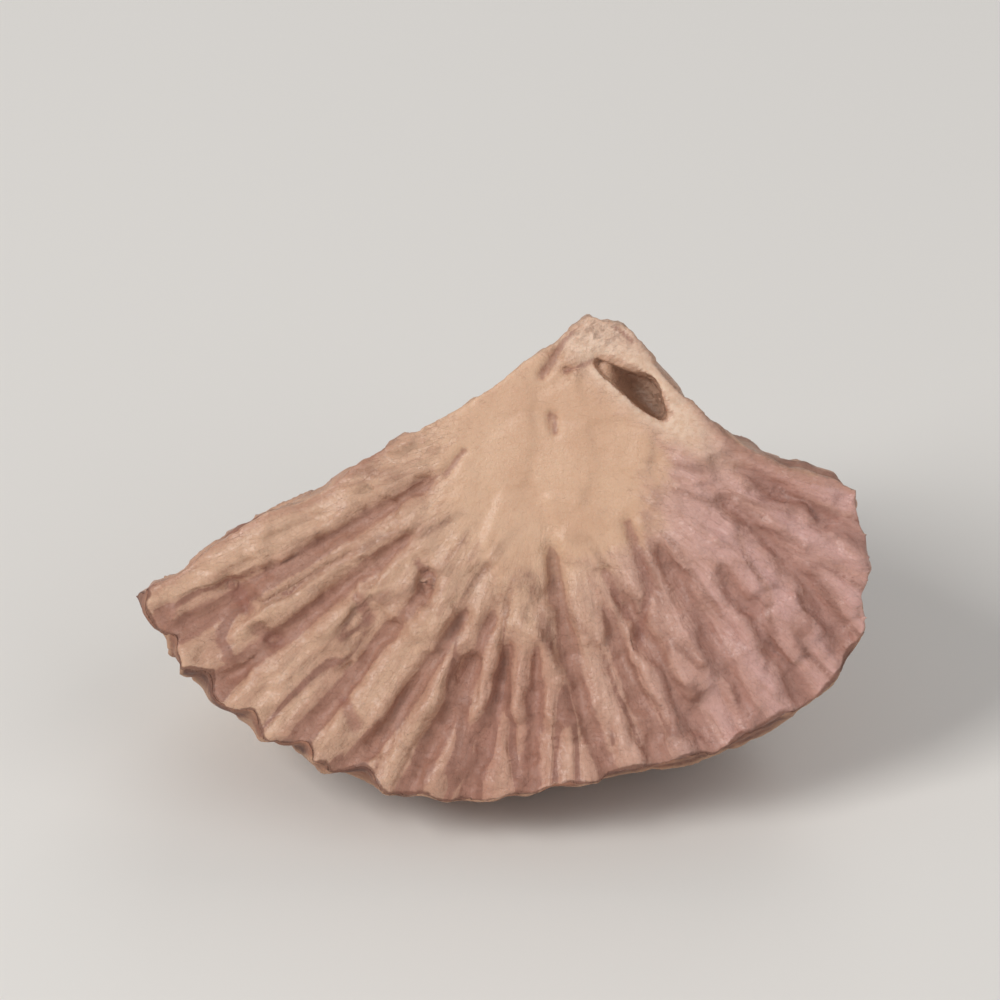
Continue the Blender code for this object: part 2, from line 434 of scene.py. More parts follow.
@dataclass(frozen=True)
class SideBreak(Face):
    """The broken face at the fan's right end."""

    flesh: Flesh
    middle: Vector = Vector((11.05, -5.2, 0.0))
    normal: Vector = Vector((0.88, 0.10, -0.46)).normalized()
    warp: float = 0.40

    def outside(self, point: Vector) -> float:
        """How far a point is past the side break.

        Args:
            point: the point, in the fan's axes.

        Returns:
            The distance, below zero where it is in the nut.
        """
        past = (point - self.middle).dot(self.normal)
        flat = point - self.normal * past
        return past - self.flesh.warp(flat, self.warp) - self.flesh.ribs(flat) + self.flesh.flakes(flat)

    def out(self, point: Vector) -> Vector:
        """The side break's normal."""
        return self.normal


@dataclass(frozen=True)
class Skin(Face):
    """The seed's own rounded surface, with veins that run out from its scar, and chips along its rim."""

    half: Vector = Vector((14.1, 13.2, 13.4))
    lump_height: float = 0.60
    lump_size: float = 7.0
    lump_place: Vector = Vector((58.56, 11.56, 56.59))
    scar: Vector = Vector((-0.50, -0.62, -0.60)).normalized()
    vein_height: float = 0.22
    vein_width: float = 0.16
    vein_bands: float = 5.5
    vein_branching: float = 3.2
    notch_depth: float = 0.45
    notch_reach: float = 1.6
    notch_middle: float = math.radians(-130)
    notch_span: float = math.radians(38)
    notch_fade: Rise = (0.5, 1.0)
    notch_turn: float = math.radians(8.0)
    notch_drift: int = 5

    def direction(self, point: Vector) -> Vector:
        """The seed's own direction to a point: where it would be if the seed were a ball."""
        return Vector(a / b for a, b in zip(point, self.half)).normalized()

    def vein(self, direction: Vector) -> float:
        """The net of veins in a direction, from 0 between them to 1 along them."""
        spoke = (direction - self.scar * direction.dot(self.scar)).normalized()
        return bell(noise.noise(spoke * self.vein_bands + direction * self.vein_branching), self.vein_width)

    def notch(self, point: Vector) -> float:
        """The chips near the fan's lower left edge.

        Args:
            point: a point of the skin.

        Returns:
            How deep the skin is chipped there.
        """
        angle = math.atan2(point.y, point.x)
        share = 1 - smooth_step(*self.notch_fade, abs(angle - self.notch_middle) / self.notch_span)
        turn = math.tau * (angle - self.notch_middle) / self.notch_turn
        wave = (1 - math.cos(turn + math.sin(self.notch_drift * angle))) / 2
        return self.notch_depth * share * bell(point.z, self.notch_reach) * wave * wave

    def surface(self, direction: Vector) -> Vector:
        """A point of the skin.

        Args:
            direction: the seed's own direction to it.

        Returns:
            The point, in the fan's axes.
        """
        point = Vector(a * b for a, b in zip(direction, self.half))
        lump = self.lump_height * noise.noise(point / self.lump_size + self.lump_place)
        return point + direction * (lump + self.vein_height * self.vein(direction) - self.notch(point))

    def outside(self, point: Vector) -> float:
        """How far a point is outside the skin."""
        direction = self.direction(point)
        return (point - self.surface(direction)).dot(direction)

    def out(self, point: Vector) -> Vector:
        """The seed's own direction, which is nearly the skin's normal."""
        return self.direction(point)


@dataclass(frozen=True)
class Stand:
    """How the wedge leans back on the small flat spot that its skin is worn to."""

    skin: Skin
    lean: float = math.radians(36)
    flat_depth: float = 0.32
    splits: int = 6

    def matrix(self) -> Matrix:
        """The turn and place that stand the wedge up.

        Returns:
            The matrix from the fan's axes to the upright ones, whose origin is the flat spot's middle.
        """
        turn = Matrix.Rotation(math.pi / 2 - self.lean, 4, "X")
        ball = bmesh.new()
        bmesh.ops.create_icosphere(ball, subdivisions=self.splits, radius=1.0)
        points = [turn @ self.skin.surface(vertex.co.normalized()) for vertex in ball.verts]
        ball.free()
        floor_height = min(point.z for point in points) + self.flat_depth
        worn = [point for point in points if point.z < floor_height]
        middle = sum(worn, Vector()) / len(worn)
        return Matrix.Translation((-middle.x, -middle.y, -floor_height)) @ turn


class Trait(Enum):
    """What the mesh keeps at each vertex for its relief and its material to read."""

    DEPTH = "depth"
    GROOVE = "groove"
    BAND = "band"
    SHEET = "sheet"
    TONE = "tone"
    BRINK = "brink"
    FACE = "face"
    # The slot's tint: partly its own greyer brown, partly painted shade that grows with depth.
    HOLLOW = "hollow"
    VEIN = "vein"
    SCAR = "scar"
    TORN = "torn"
    CREASE = "crease"
    # The slot's rim, painted paler: partly its own whiter flesh, partly a painted highlight.
    LIP = "lip"
    WORN = "worn"


class Wire:
    """A node's output. A sum on it adds a node to its graph, on vectors where it is a vector."""

    def __init__(self, graph: "Graph", socket: bpy.types.NodeSocket) -> None:
        """Holds an output of one of a graph's nodes."""
        self.graph = graph
        self.socket = socket

    def sum(self, operation: str, *others: Feed) -> "Wire":
        """A sum, as Blender names it, on this and on numbers, vectors or wires."""
        kind = self.graph.vector if self.socket.type == "VECTOR" else self.graph.math
        return kind(operation, self, *others)

    def __add__(self, other: Feed) -> "Wire":
        """This and another together."""
        return self.sum("ADD", other)

    def __sub__(self, other: Feed) -> "Wire":
        """What another leaves of this."""
        return self.sum("SUBTRACT", other)

    def __rsub__(self, number: float) -> "Wire":
        """What this leaves of a number."""
        return self.graph.math("SUBTRACT", number, self)

    def __mul__(self, factor: Feed) -> "Wire":
        """This, that many times as large.

        Args:
            factor: a number, or a wire of one.

        Returns:
            The result, a vector where this is one.
        """
        if self.socket.type == "VECTOR":
            return self.graph.vector("SCALE", self, scale=factor)
        return self.sum("MULTIPLY", factor)

    def __truediv__(self, divisor: Feed) -> "Wire":
        """This over a number, or over a wire of one."""
        return self * self.graph.math("DIVIDE", 1.0, divisor)

    def most(self, other: Feed) -> "Wire":
        """The larger of two numbers."""
        return self.sum("MAXIMUM", other)

    def size(self) -> "Wire":
        """A number without its sign."""
        return self.sum("ABSOLUTE")

    def length(self) -> "Wire":
        """How long a vector is."""
        return self.sum("LENGTH")

    def dot(self, other: Feed) -> "Wire":
        """How far a vector goes along another."""
        return self.sum("DOT_PRODUCT", other)

    def swing(self, width: Feed) -> "Wire":
        """Noise moved to around 0, and that many times as wide."""
        return (self - NOISE_MIDDLE) * width

    def drawn(self, bands: Feed, length: Feed) -> "Wire":
        """Where a pattern is read that runs out from a middle, in so many bands to a radian and so long."""
        return self.sum("NORMALIZE") * bands + self / length

    def step(self, low: Feed, high: Feed, to_low: Feed = 0.0, to_high: Feed = 1.0) -> "Wire":
        """A smooth rise or fall of a number, from to_low at low to to_high at high."""
        inputs = dict(enumerate((self, low, high, to_low, to_high)))
        return self.graph.wire("ShaderNodeMapRange", inputs, interpolation_type="SMOOTHSTEP")


class Graph:
    """A node tree, for a material or a Geometry Nodes modifier, built by calls that add its nodes."""

    def __init__(self, tree: bpy.types.NodeTree) -> None:
        """Starts on the tree that the nodes go in."""
        self.tree = tree

    def put(self, socket: bpy.types.NodeSocket, value: Feed) -> None:
        """Links a value to an input if it is a wire, and otherwise sets it.

        Args:
            socket: the input.
            value: a wire, or a plain value.
        """
        if isinstance(value, Wire):
            self.tree.links.new(value.socket, socket)
        else:
            socket.default_value = value

    def node(self, kind: str, inputs: Feeds | None = None, **settings: object) -> bpy.types.Node:
        """Adds a node.

        Args:
            kind: its type, as Blender names it.
            inputs: what goes in its inputs, by their names or places.
            settings: values for the node's own properties.

        Returns:
            The node.
        """
        added = self.tree.nodes.new(kind)
        for name, value in settings.items():
            setattr(added, name, value)
        for name, value in (inputs or {}).items():
            self.put(added.inputs[name], value)
        return added

    def wire(self, kind: str, inputs: Feeds | None = None, output: str | int = 0, **settings: object) -> Wire:
        """Adds a node, as node() does, and takes the output of that name or place."""
        return Wire(self, self.node(kind, inputs, **settings).outputs[output])

    def math(self, operation: str, *values: Feed) -> Wire:
        """A sum on one or two numbers."""
        return self.wire("ShaderNodeMath", dict(enumerate(values)), operation=operation)

    def vector(self, operation: str, *values: Feed, scale: Feed | None = None) -> Wire:
        """A sum on one or two vectors.

        Args:
            operation: the sum, as Blender names it.
            values: the vectors.
            scale: what SCALE multiplies by.

        Returns:
            The result, which is a number for a length or a dot product.
        """
        inputs = dict(enumerate(values)) | ({} if scale is None else {"Scale": scale})
        output = "Value" if operation in ("LENGTH", "DOT_PRODUCT") else "Vector"
        return self.wire("ShaderNodeVectorMath", inputs, output, operation=operation)

    def noise(self, place: Wire, scale: Feed, detail: float = 2.0, roughness: float = 0.5) -> Wire:
        """Smooth noise from 0 to 1, with features about 1 / scale across."""
        inputs = {"Vector": place, "Scale": scale, "Detail": detail, "Roughness": roughness}
        return self.wire("ShaderNodeTexNoise", inputs)

    def facets(self, place: Wire, scale: Feed = 1.0) -> Wire:
        """Flat facets that each tilt their own way, with small steps between them.

        Args:
            place: where they are read.
            scale: one over a facet's width.

        Returns:
            The height, mostly from -0.3 to 0.3.
        """
        scaled = place * scale
        cells = self.node("ShaderNodeTexVoronoi", {"Vector": scaled, "Scale": 1.0}, feature="F1")
        colour, middle = (Wire(self, cells.outputs[name]) for name in ("Color", "Position"))
        return (scaled - middle).dot(self.vector("SUBTRACT", colour, [NOISE_MIDDLE] * 3))

    def mix(self, share: Feed, first: Feed, second: Feed) -> Wire:
        """A colour between two others.

        Args:
            share: how far it has gone from the first to the second, from 0 to 1.
            first: a colour, or a wire of one.
            second: the other.

        Returns:
            The colour.
        """
        added = self.node("ShaderNodeMix", data_type="RGBA", clamp_factor=True)
        for name, value in (("Factor_Float", share), ("A_Color", first), ("B_Color", second)):
            self.put(next(s for s in added.inputs if s.identifier == name), value)
        return Wire(self, next(s for s in added.outputs if s.identifier == "Result_Color"))

    def coats(self, ground: Feed, *coats: tuple[Feed, Feed]) -> Wire:
        """Colours laid over each other.

        Args:
            ground: the lowest.
            coats: how much there is of each of the others, and its colour.

        Returns:
            The colour that shows.
        """
        for share, colour in coats:
            ground = self.mix(share, ground, colour)
        return ground


@dataclass(frozen=True)
class FleshFinish:
    """The waxy marbled flesh: a cream core, pale bands and brown partitions between them."""

    core: Colour = linear(216, 177, 147)
    cloud: Colour = linear(203, 160, 130)
    pale: Colour = linear(206, 167, 140)
    pink: Colour = linear(206, 161, 151)
    tan: Colour = linear(180, 133, 112)
    brown: Colour = linear(155, 106, 91)
    deep: Colour = linear(122, 80, 64)
    coat: Colour = linear(122, 82, 66)
    russet: Colour = linear(180, 125, 110)
    nose: Colour = linear(212, 175, 150)
    streak: Colour = linear(140, 108, 92)
    # The slot's rim: partly its own whiter flesh, partly a painted highlight.
    lip: Colour = linear(230, 200, 176)
    # The slot's tint: partly its own greyer brown, partly painted shade.
    hollow: Colour = linear(176, 152, 136)
    # Patterns drawn out from the core, the noise in all of them but the chips, and the even noises.
    fibres: Grain = (22.0, 6.0)
    hairs: Grain = (60.0, 2.5)
    streaks: Grain = (12.0, 4.0)
    chips: Grain = (26.0, 1.8)
    drawn: Grain = (1.0, 3.0, 0.6)
    blotches: Grain = (0.9, 3.0, 0.6)
    crumbs: Grain = (5.0, 3.0, 0.6)
    clouds: Grain = (0.55, 3.0, 0.55)
    # How ragged edges are, where the core's wax ends, and where the banded ring and the pink side rise.
    ragged_fibre: float = 0.28
    ragged_crumb: float = 0.18
    wax_middle: Vector = Vector((1.2, -2.9, -0.4))
    wax_edge: Rise = (2.8, 4.3)
    wax_blotch: float = 3.0
    wax_ragged: float = 2.0
    ring: Rise = (4.2, 6.0)
    right: Rise = (0.0, 8.0)
    # The partitions along the main grooves, those in bands, how much of them shows, and the threads.
    line_inset: float = 0.03
    line: Rise = (0.03, -0.07)
    line_halo: Rise = (0.45, 0.0)
    band: Rise = (0.04, -0.06)
    band_halo: Rise = (0.50, 0.0)
    band_width: Rise = (4.6, 12.5, -0.02, 0.085)
    tone_width: float = 0.09
    band_per_mm: float = 0.33
    partition_share: float = 0.54
    far: Rise = (6.0, 12.0, 0.0, 0.12)
    right_share: Rise = (0.0, 1.0, 1.0, 0.62)
    thread_ragged: float = 0.5
    thread: Rise = (0.18, 0.04)
    thread_start: Rise = (3.8, 5.2)
    thread_blotch: Rise = (0.35, 0.60, 0.10, 0.36)
    # How much of each coat there is on the core, on the bands, and then on both.
    cloud_share: Rise = (0.35, 0.75, 0.0, 0.7)
    cloud_fibre: Rise = (0.50, 0.72, 0.0, 0.45)
    # The slot's rim coat: partly its own whiter flesh, partly a painted highlight.
    lip_crumb: Rise = (0.35, 0.60, 0.35, 0.85)
    streak_share: Rise = (0.50, 0.62, 0.0, 0.55)
    tan_fibre: Rise = (0.45, 0.70, 0.0, 0.45)
    stain_share: float = 0.40
    russet_share: float = 0.40
    hair: Rise = (0.035, 0.0)
    hair_share: float = 0.05
    hair_ring_share: float = 0.12
    deep_hair: Rise = (0.35, 0.70, 0.0, 0.5)
    margin_crumb: float = 0.5
    margin: Rise = (0.50, 0.15, 0.0, 0.6)
    coat_blotch: float = 0.7
    coat_share: Rise = (0.20, 0.10, 0.0, 0.85)
    # The slot's tint at its fullest: partly its own colour, partly painted shade.
    hollow_share: float = 0.65
    crease_crumb: float = 0.8
    crease: Rise = (0.35, 0.95, 0.0, 0.62)
    # The finest relief, and the roughness from bare flesh to a whole partition.
    stain_depth: float = -0.03
    chip_height: float = 0.10
    flake_scale: float = 2.6
    flake_height: float = 0.05
    grain_scale: float = 7.0
    grain_height: float = 0.030
    fibre_height: float = 0.03
    hair_height: float = 0.010
    crumb_height: float = 0.018
    crispness: Rise = (0.0, 1.0, 0.25, 1.0)
    roughness: Rise = (0.0, 1.0, 0.40, 0.58)


class FleshPaint:
    """The flesh in a material's graph: the patterns that its colour, height and roughness are made of."""

    def __init__(self, finish: FleshFinish, graph: Graph, spot: Wire, core: Vector,
                 trait: dict[Trait, Wire]) -> None:
        """Makes the patterns that more than one layer reads.

        Args:
            finish: the flesh's colours and sizes.
            graph: the material's graph.
            spot: the place on the piece, in mm, in the fan's axes.
            core: the middle of the core.
            trait: the wire of each trait.
        """
        self.finish, self.graph, self.spot, self.trait = finish, graph, spot, trait
        self.away = spot - core
        self.radius = self.away.length()
        self.fibre, self.hair, self.streak = (
            graph.noise(self.away.drawn(*kind), *finish.drawn)
            for kind in (finish.fibres, finish.hairs, finish.streaks)
        )
        self.blotch, self.crumb, self.cloud = (
            graph.noise(spot, *kind) for kind in (finish.blotches, finish.crumbs, finish.clouds)
        )
        self.ragged = self.crumb.swing(finish.ragged_crumb) + self.fibre.swing(finish.ragged_fibre)
        self.ring = self.radius.step(*finish.ring)
        self.right = spot.dot(ACROSS).step(*finish.right) * trait[Trait.FACE]
        reach = (spot - finish.wax_middle).length() + self.blotch.swing(finish.wax_blotch)
        # The wax shows instead of bands at the torn nose and on the slot's rim, whose paleness is partly a
        # painted highlight.
        pale = 1.0 - trait[Trait.TORN].most(trait[Trait.LIP])
        self.outer = (self.ragged * finish.wax_ragged + reach).step(*finish.wax_edge) * pale
        self.partition, self.stain = self.partitions()

    def partitions(self) -> tuple[Wire, Wire]:
        """The brown partitions, along the main grooves and in bands between the ribs.

        Returns:
            How much of a partition shows, and how much of the stain round it.
        """
        finish = self.finish
        gap = self.trait[Trait.GROOVE] + finish.line_inset + self.ragged
        width = self.radius.step(*finish.band_width) + self.trait[Trait.TONE] * finish.tone_width
        band_gap = (self.trait[Trait.BAND] - width) / finish.band_per_mm + self.ragged
        partition = gap.step(*finish.line).most(band_gap.step(*finish.band) * self.ring)
        stain = gap.step(*finish.line_halo).most(band_gap.step(*finish.band_halo) * self.ring)
        opacity = self.radius.step(*finish.far) + finish.partition_share
        return partition * opacity * self.right.step(*finish.right_share), stain

    def wax(self) -> Wire:
        """The pale core, with the torn nose and the slot's rim, which is partly whiter flesh and partly a
        painted highlight.

        Returns:
            Their colour.
        """
        finish = self.finish
        return self.graph.coats(
            finish.core,
            (self.cloud.step(*finish.cloud_share), finish.cloud),
            (self.fibre.step(*finish.cloud_fibre), finish.cloud),
            (self.trait[Trait.TORN], finish.nose),
            # The slot's rim: partly its own whiter flesh, partly a painted highlight.
            (self.trait[Trait.LIP] * self.crumb.step(*finish.lip_crumb), finish.lip),
            (self.trait[Trait.TORN] * self.streak.step(*finish.streak_share), finish.streak),
        )

    def bands(self) -> Wire:
        """The bands between the partitions: pale, pink at the right, and russet low in the middle.

        Returns:
            Their colour.
        """
        finish = self.finish
        return self.graph.coats(
            self.graph.mix(self.right, finish.pale, finish.pink),
            (self.fibre.step(*finish.tan_fibre), finish.tan),
            (self.stain * finish.stain_share, finish.tan),
            (self.trait[Trait.TONE].most(0.0) * finish.russet_share, finish.russet),
        )

    def colour(self) -> Wire:
        """All of the flesh, with its hairs, partitions, threads, stained margin and coat, the slot's tint
        with its painted shade, and creases.

        Returns:
            The colour.
        """
        finish, graph, trait = self.finish, self.graph, self.trait
        hairs = self.ring * finish.hair_ring_share + finish.hair_share
        wood = graph.mix(self.hair.step(*finish.deep_hair), finish.brown, finish.deep)
        thread = (trait[Trait.SHEET] + self.ragged * finish.thread_ragged).step(*finish.thread)
        thread = thread * self.radius.step(*finish.thread_start) * self.blotch.step(*finish.thread_blotch)
        margin = (trait[Trait.BRINK] + self.crumb.swing(finish.margin_crumb)).step(*finish.margin)
        coat = trait[Trait.DEPTH] + self.blotch.swing(finish.coat_blotch)
        crease = trait[Trait.CREASE] + self.crumb.swing(finish.crease_crumb)
        return graph.coats(
            graph.mix(self.outer, self.wax(), self.bands()),
            ((self.hair - NOISE_MIDDLE).size().step(*finish.hair) * hairs, finish.brown),
            (self.partition, wood),
            (thread, finish.deep),
            (margin * trait[Trait.FACE] * self.ring, finish.tan),
            (coat.step(*finish.coat_share), finish.coat),
            # The slot's tint, fuller deeper in: partly its own colour, partly painted shade.
            (trait[Trait.HOLLOW] * finish.hollow_share, finish.hollow),
            (crease.step(*finish.crease), finish.brown),
        )

    def height(self) -> Wire:
        """The finest relief, which is only in how the surface takes light.

        Returns:
            Its height in mm.
        """
        finish, graph = self.finish, self.graph
        rugged = self.outer.most(self.trait[Trait.TORN])
        chips = graph.facets(self.away.drawn(*finish.chips)) * rugged * finish.chip_height
        fine = graph.facets(self.spot, finish.flake_scale) * finish.flake_height
        fine = fine + graph.facets(self.spot, finish.grain_scale) * finish.grain_height
        fine = (fine + self.fibre * finish.fibre_height) * rugged.step(*finish.crispness)
        worn = self.hair * finish.hair_height + self.crumb * finish.crumb_height
        return self.stain * finish.stain_depth + chips + fine + worn

    def roughness(self) -> Wire:
        """How matt the flesh is: waxy, and duller on the partitions."""
        return self.partition.step(*self.finish.roughness)


@dataclass(frozen=True)
class SkinFinish:
    """The matt skin: tan brown, mottled, with paler veins and a cream scar."""

    ground: Colour = linear(156, 108, 86)
    light: Colour = linear(180, 134, 108)
    dark: Colour = linear(108, 72, 60)
    vein: Colour = linear(194, 154, 126)
    scar: Colour = linear(214, 180, 146)
    pit: Colour = linear(84, 56, 46)
    mottles: Grain = (0.45, 4.0, 0.62)
    blotches: Grain = (1.3, 3.0, 0.6)
    crumbs: Grain = (6.0, 3.0, 0.6)
    specks: Grain = (3.2, 2.0, 0.7)
    ground_share: Rise = (0.36, 0.62)
    light_share: Rise = (0.45, 0.72, 0.0, 0.7)
    vein_crumb: float = 0.5
    vein_share: Rise = (0.35, 0.90, 0.0, 0.7)
    speck_share: Rise = (0.62, 0.72, 0.0, 0.6)
    scar_mottle: float = 5.0
    scar_share: Rise = (4.2, 3.57, 0.0, 0.85)
    pit_share: Rise = (0.8, 0.48, 0.0, 0.9)
    crumb_height: float = 0.05
    blotch_height: float = 0.10
    roughness: float = 0.62

    def paint(self, graph: Graph, spot: Wire, trait: dict[Trait, Wire]) -> tuple[Wire, Wire]:
        """The skin's colour and height.

        Args:
            graph: the material's graph.
            spot: the place on the piece, in mm.
            trait: the wire of each trait.

        Returns:
            The colour, and the height in mm.
        """
        mottle, blotch, crumb, speck = (
            graph.noise(spot, *kind) for kind in (self.mottles, self.blotches, self.crumbs, self.specks)
        )
        cap = trait[Trait.SCAR] + mottle.swing(self.scar_mottle)
        colour = graph.coats(
            self.dark,
            (mottle.step(*self.ground_share), self.ground),
            (blotch.step(*self.light_share), self.light),
            ((trait[Trait.VEIN] + crumb.swing(self.vein_crumb)).step(*self.vein_share), self.vein),
            (speck.step(*self.speck_share), self.dark),
            (cap.step(*self.scar_share), self.scar),
            (cap.step(*self.pit_share), self.pit),
        )
        return colour, crumb * self.crumb_height + blotch * self.blotch_height


@dataclass(frozen=True)
class NutFinish:
    """The wedge's finish: flesh inside, skin outside, and the tooth and the soft glow that they share."""

    flesh: FleshFinish = FleshFinish()
    skin: SkinFinish = SkinFinish()
    inside: Rise = (0.03, 0.09)
    tooth: Grain = (14.0, 2.0, 0.6)
    tooth_roughness: float = 0.4
    tooth_height: float = 0.012
    specular: float = 0.42
    glow: float = 0.08
    glow_depth_m: float = 0.0006
    glow_tint: tuple[float, float, float] = (1.0, 0.5, 0.3)

    def material(self, place: Matrix, core: Vector) -> bpy.types.Material:
        """The wedge's material.

        Args:
            place: the matrix from the fan's axes to upright ones, in millimetres.
            core: the middle of the flesh's core, in the fan's axes.

        Returns:
            The material.
        """
        made = bpy.data.materials.new("areca_nut_finish")
        made.use_nodes = True
        graph = Graph(made.node_tree)
        trait = {t: graph.wire("ShaderNodeAttribute", output="Fac", attribute_name=t.value) for t in Trait}
        back = place.inverted()
        spot = graph.wire("ShaderNodeMapping", {
            "Vector": graph.wire("ShaderNodeTexCoord", output="Object") * PER_M,
            "Location": back.translation,
            "Rotation": back.to_euler(),
        })
        flesh = FleshPaint(self.flesh, graph, spot, core, trait)
        skin, skin_height = self.skin.paint(graph, spot, trait)
        inside = trait[Trait.DEPTH].step(*self.inside)
        tooth = graph.noise(spot, *self.tooth)
        height = inside * flesh.height() + (1.0 - inside) * skin_height + tooth * self.tooth_height
        roughness = inside.step(0.0, 1.0, self.skin.roughness, flesh.roughness())
        looks = {
            "Base Color": graph.mix(inside, skin, flesh.colour()),
            "Roughness": roughness + tooth.swing(self.tooth_roughness),
            "Normal": graph.wire("ShaderNodeBump", {"Height": height, "Distance": MM_M}, "Normal"),
            "Specular IOR Level": self.specular,
            "Subsurface Weight": self.glow,
            "Subsurface Scale": self.glow_depth_m,
            "Subsurface Radius": self.glow_tint,
        }
        shader = made.node_tree.nodes["Principled BSDF"]
        for name, value in looks.items():
            graph.put(shader.inputs[name], value)
        return made


@dataclass
class NutPiece:
    """The wedge itself: a fine closed mesh that follows the same faces as the CAD solid, with its relief."""

    fan: Fan
    roof: Roof
    side: SideBreak
    skin: Skin
    stand: Stand
    finish: NutFinish = NutFinish()
    mesh_size: float = 0.12
    merge_distance: float = 0.002
    settle_reach: float = 0.30
    settle_cosine: float = 0.25
    settle_rounds: int = 3
    flat_reach: float = 0.05
    edge_wear: float = 0.03
    edge_reach: float = 0.16
    worn_reach: float = 0.22
    edge_size: float = 0.45
    # Depths at which the slot's tint starts and is full: partly its own colour, partly painted shade.
    hollow_depths: Rise = (0.2, 2.2)
    slot_rim: float = 0.90
    slot_wear: float = 0.6
    # Width of the slot's paler rim: partly its own whiter flesh, partly a painted highlight.
    lip_width: float = 0.30
    groove_reach: float = 1.0
    torn_place: float = 3.0
    torn_width: float = 1.7
    torn_rise: Rise = (0.0, 1.5)
    brown_bearing: float = -96.0
    brown_spread: float = 16.0
    brown_radii: Rise = (6.5, 9.0)
    side_paleness: float = 0.20
    back_tone: float = 0.30

    def make(self) -> bpy.types.Object:
        """Builds the wedge and dresses it.

        Returns:
            The finished object, in metres, at the origin.
        """
        piece = self.fine_copy(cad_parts[NODE])
        place, core = self.stand.matrix(), self.fan.flesh.core
        self.settle_and_mark(piece.data, place)
        Relief(place @ core, self.finish.material(place, core)).apply(piece)
        piece.data.transform(Matrix.Scale(MM_M, 4))
        piece.data.shade_smooth()
        return piece

    def fine_copy(self, solid: bpy.types.Object) -> bpy.types.Object:
        """A copy of a solid in millimetres, merged and remeshed evenly and finely.

        Args:
            solid: the CAD node's object.

        Returns:
            The new object.
        """
        shape = bmesh.new()
        shape.from_mesh(solid.data)
        bmesh.ops.transform(shape, matrix=Matrix.Scale(PER_M, 4), verts=shape.verts)
        bmesh.ops.remove_doubles(shape, verts=shape.verts, dist=self.merge_distance)
        mesh = bpy.data.meshes.new("areca_nut_rough")
        shape.to_mesh(mesh)
        shape.free()
        piece = add_object("marbled_nut_wedge", mesh)
        remesh = piece.modifiers.new("even", "REMESH")
        remesh.mode = "VOXEL"
        remesh.voxel_size = self.mesh_size
        make_plain(piece)
        return piece

    def settled(self, point: Vector, normal: Vector) -> tuple[Vector, Face | None, float]:
        """Moves a point of the rough mesh onto the face that it belongs to, and inside the others.

        Args:
            point: the point, in the fan's axes.
            normal: the mesh's normal there.

        Returns:
            The point where it belongs, its face, or None where it is in the slot, and how near an edge it is,
            from 0 to 1.
        """
        gaps = [(abs(face.outside(point)), face) for face in (self.fan, self.roof, self.side, self.skin)]
        near = [(gap, order, face) for order, (gap, face) in enumerate(gaps)
                if gap < self.settle_reach and normal.dot(face.out(point)) > self.settle_cosine]
        slot = self.fan.slot
        if slot.holds(point) and (not near or slot.span(point) < self.slot_rim):
            worn = bell(self.fan.outside(point), self.worn_reach)
            return self.in_slot(point), None, max(worn, self.slot_wear)
        if not near:
            return point, None, 1.0
        start, own = point, min(near)[2]
        others = [face for gap, face in gaps if face is not own and gap < 2 * self.settle_reach]
        point = own.settle(point)
        for _ in range(self.settle_rounds):
            for face in others:
                if face.outside(point) > 0:
                    point = face.settle(point)
            point = own.settle(point)
        rim = (slot.span(point) - 1) * slot.half_width if own is self.fan else math.inf
        worn = bell(rim, self.worn_reach)
        for face in others:
            close = -face.outside(point)
            worn = max(worn, bell(close, self.worn_reach))
            wear = self.edge_wear * bell(close, self.edge_reach) * (1 + noise.noise(point / self.edge_size))
            point = point - (own.out(point) + face.out(point)).normalized() * wear
        moved = point - start
        return start + moved * min(1.0, self.settle_reach / max(moved.length, self.merge_distance)), own, worn

    def settle_and_mark(self, mesh: bpy.types.Mesh, place: Matrix) -> None:
        """Settles every vertex on the exact faces and gives it its traits.

        Args:
            mesh: the wedge's mesh, in millimetres, upright.
            place: the matrix from the fan's axes to upright ones, in millimetres.
        """
        back = place.inverted()
        turn = back.to_3x3()
        rough = [(vertex.co.copy(), vertex.normal.copy()) for vertex in mesh.vertices]
        places, marks = [], {trait: [] for trait in Trait}
        for spot, normal in rough:
            on_flat = spot.z < self.flat_reach
            point, own, worn = back @ spot, None, 0.0
            if not on_flat:
                point, own, worn = self.settled(point, turn @ normal)
            spot = place @ point
            places += (spot.x, spot.y, 0.0 if on_flat else max(spot.z, 0.0))
            for trait, value in self.traits(point, own, on_flat).items():
                marks[trait].append(value)
            marks[Trait.WORN].append(worn)
        mesh.vertices.foreach_set("co", places)
        for trait, values in marks.items():
            mesh.attributes.new(trait.value, "FLOAT", "POINT").data.foreach_set("value", values)
        mesh.update()

    def in_slot(self, point: Vector) -> Vector:
        """Moves a point of the slot's wall up at the slot's shallow left end.

        Args:
            point: the point, in the fan's axes.

        Returns:
            The point, no deeper than the slot is there, and with a wall between it and the roof.
        """
        slot = self.fan.slot
        floor, top = slot.floor(point), self.fan.height(point)
        depth = max(top - point.z, 0.0)
        spot = Vector((point.x, point.y, top - floor * (1 - math.exp(-depth / floor))))
        spot.y -= max(self.roof.outside(spot) + slot.wall * (1 - math.exp(-depth / self.worn_reach)), 0.0)
        return spot

    def traits(self, point: Vector, own: Face | None, on_flat: bool) -> dict[Trait, float]:
        """What the material needs to know at a point.

        Args:
            point: the point, in the fan's axes.
            own: the face that it is on, if any.
            on_flat: whether it is on the worn flat spot.

        Returns:
            Each trait's value, except WORN.
        """
        direction = self.skin.direction(point)
        flesh = self.fan.flesh
        on_fan, on_skin = own is self.fan, own is self.skin
